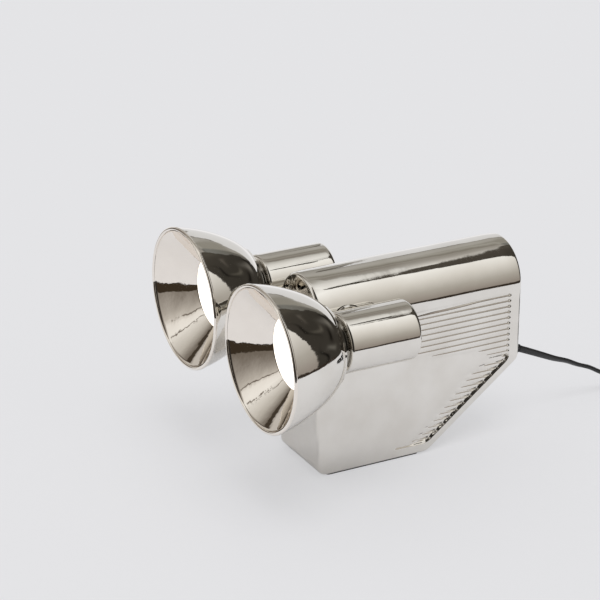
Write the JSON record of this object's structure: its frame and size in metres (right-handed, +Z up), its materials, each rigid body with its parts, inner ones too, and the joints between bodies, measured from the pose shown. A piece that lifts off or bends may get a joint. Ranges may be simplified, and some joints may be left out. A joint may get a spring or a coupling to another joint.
{
  "type": "tabletop searchlight lamp",
  "caption": "Mirror-bright ceramic table lamp: rounded-top body with ribbed sides, bell-mouthed spot heads tilting on friction pivots beside it, black cord with rocker switch and plug.",
  "frame": {"origin": "on the table, under the middle of the lamp's length and width without its cord", "axes": "+X to the right as one faces the bells, -Y the way the bells face, +Z up"},
  "size_m": [0.2638, 0.5325, 0.193],
  "materials": {
    "lustre_glaze": "mirror-bright platinum lustre over glaze on slip-cast ware, slightly uneven",
    "mirror_cone": "polished and plated to match the glaze",
    "opal_lens": "opal, lit from behind",
    "lamp_glass": "reflector lamp, silvered glass with a white base",
    "white_ceramic": "unglazed steatite",
    "steel": "zinc plated",
    "brass": "plain",
    "nickel": "nickel plated",
    "nylon": "moulded nylon",
    "black_plastic": "satin black moulding",
    "cord_sheath": "black sheath over two copper cores",
    "tie_tape": "woven hook-and-loop tape",
    "felt": "wool felt"
  },
  "bodies": {
    "base": {"body_shell": "lustre_glaze", "base_plate": "steel", "felt_pad": "felt", "clamp_bars": "steel", "base_screws": "steel", "terminal_block": "nylon", "terminal_screws": "brass", "cord_clamp": "steel", "clamp_screws": "steel", "inner_cord": "cord_sheath", "right_feed": "cord_sheath", "left_feed": "cord_sheath", "right_bush": "nylon", "left_bush": "nylon", "strain_relief": "black_plastic", "cord": "cord_sheath", "cord_coil": "cord_sheath", "coil_tie": "tie_tape", "switch_base": "black_plastic", "switch_cover": "black_plastic", "switch_screws": "steel", "plug_body": "black_plastic", "plug_pins": "nickel"},
    "right_head": {"right_bell": "lustre_glaze", "right_reflector": "mirror_cone", "right_lens": "opal_lens", "right_lens_clip": "steel", "right_collar": "mirror_cone", "right_collar_nut": "steel", "right_can": "lustre_glaze", "right_carrier": "steel", "right_carrier_screws": "steel", "right_holder": "white_ceramic", "right_bulb": "lamp_glass", "right_pivot_tube": "steel", "right_washer": "nylon", "right_can_nut": "steel", "right_spring_washer": "steel", "right_pivot_nut": "steel", "right_lead": "cord_sheath"},
    "left_head": {"left_bell": "lustre_glaze", "left_reflector": "mirror_cone", "left_lens": "opal_lens", "left_lens_clip": "steel", "left_collar": "mirror_cone", "left_collar_nut": "steel", "left_can": "lustre_glaze", "left_carrier": "steel", "left_carrier_screws": "steel", "left_holder": "white_ceramic", "left_bulb": "lamp_glass", "left_pivot_tube": "steel", "left_washer": "nylon", "left_can_nut": "steel", "left_spring_washer": "steel", "left_pivot_nut": "steel", "left_lead": "cord_sheath"},
    "rocker": {"switch_rocker": "black_plastic"}
  },
  "joints": [
    {"name": "right_tilt", "type": "hinge", "parent": "base", "child": "right_head", "pos_m": [0.0365, -0.0335, 0.134], "axis": [1, 0, 0], "range_deg": [-30, 30]},
    {"name": "left_tilt", "type": "hinge", "parent": "base", "child": "left_head", "pos_m": [-0.0365, -0.0335, 0.134], "axis": [1, 0, 0], "range_deg": [-30, 30]},
    {"name": "rocker_switch", "type": "hinge", "parent": "base", "child": "rocker", "pos_m": [0.029, 0.39, 0.01343], "axis": [0, 1, 0], "range_deg": [0, 14]}
  ]
}
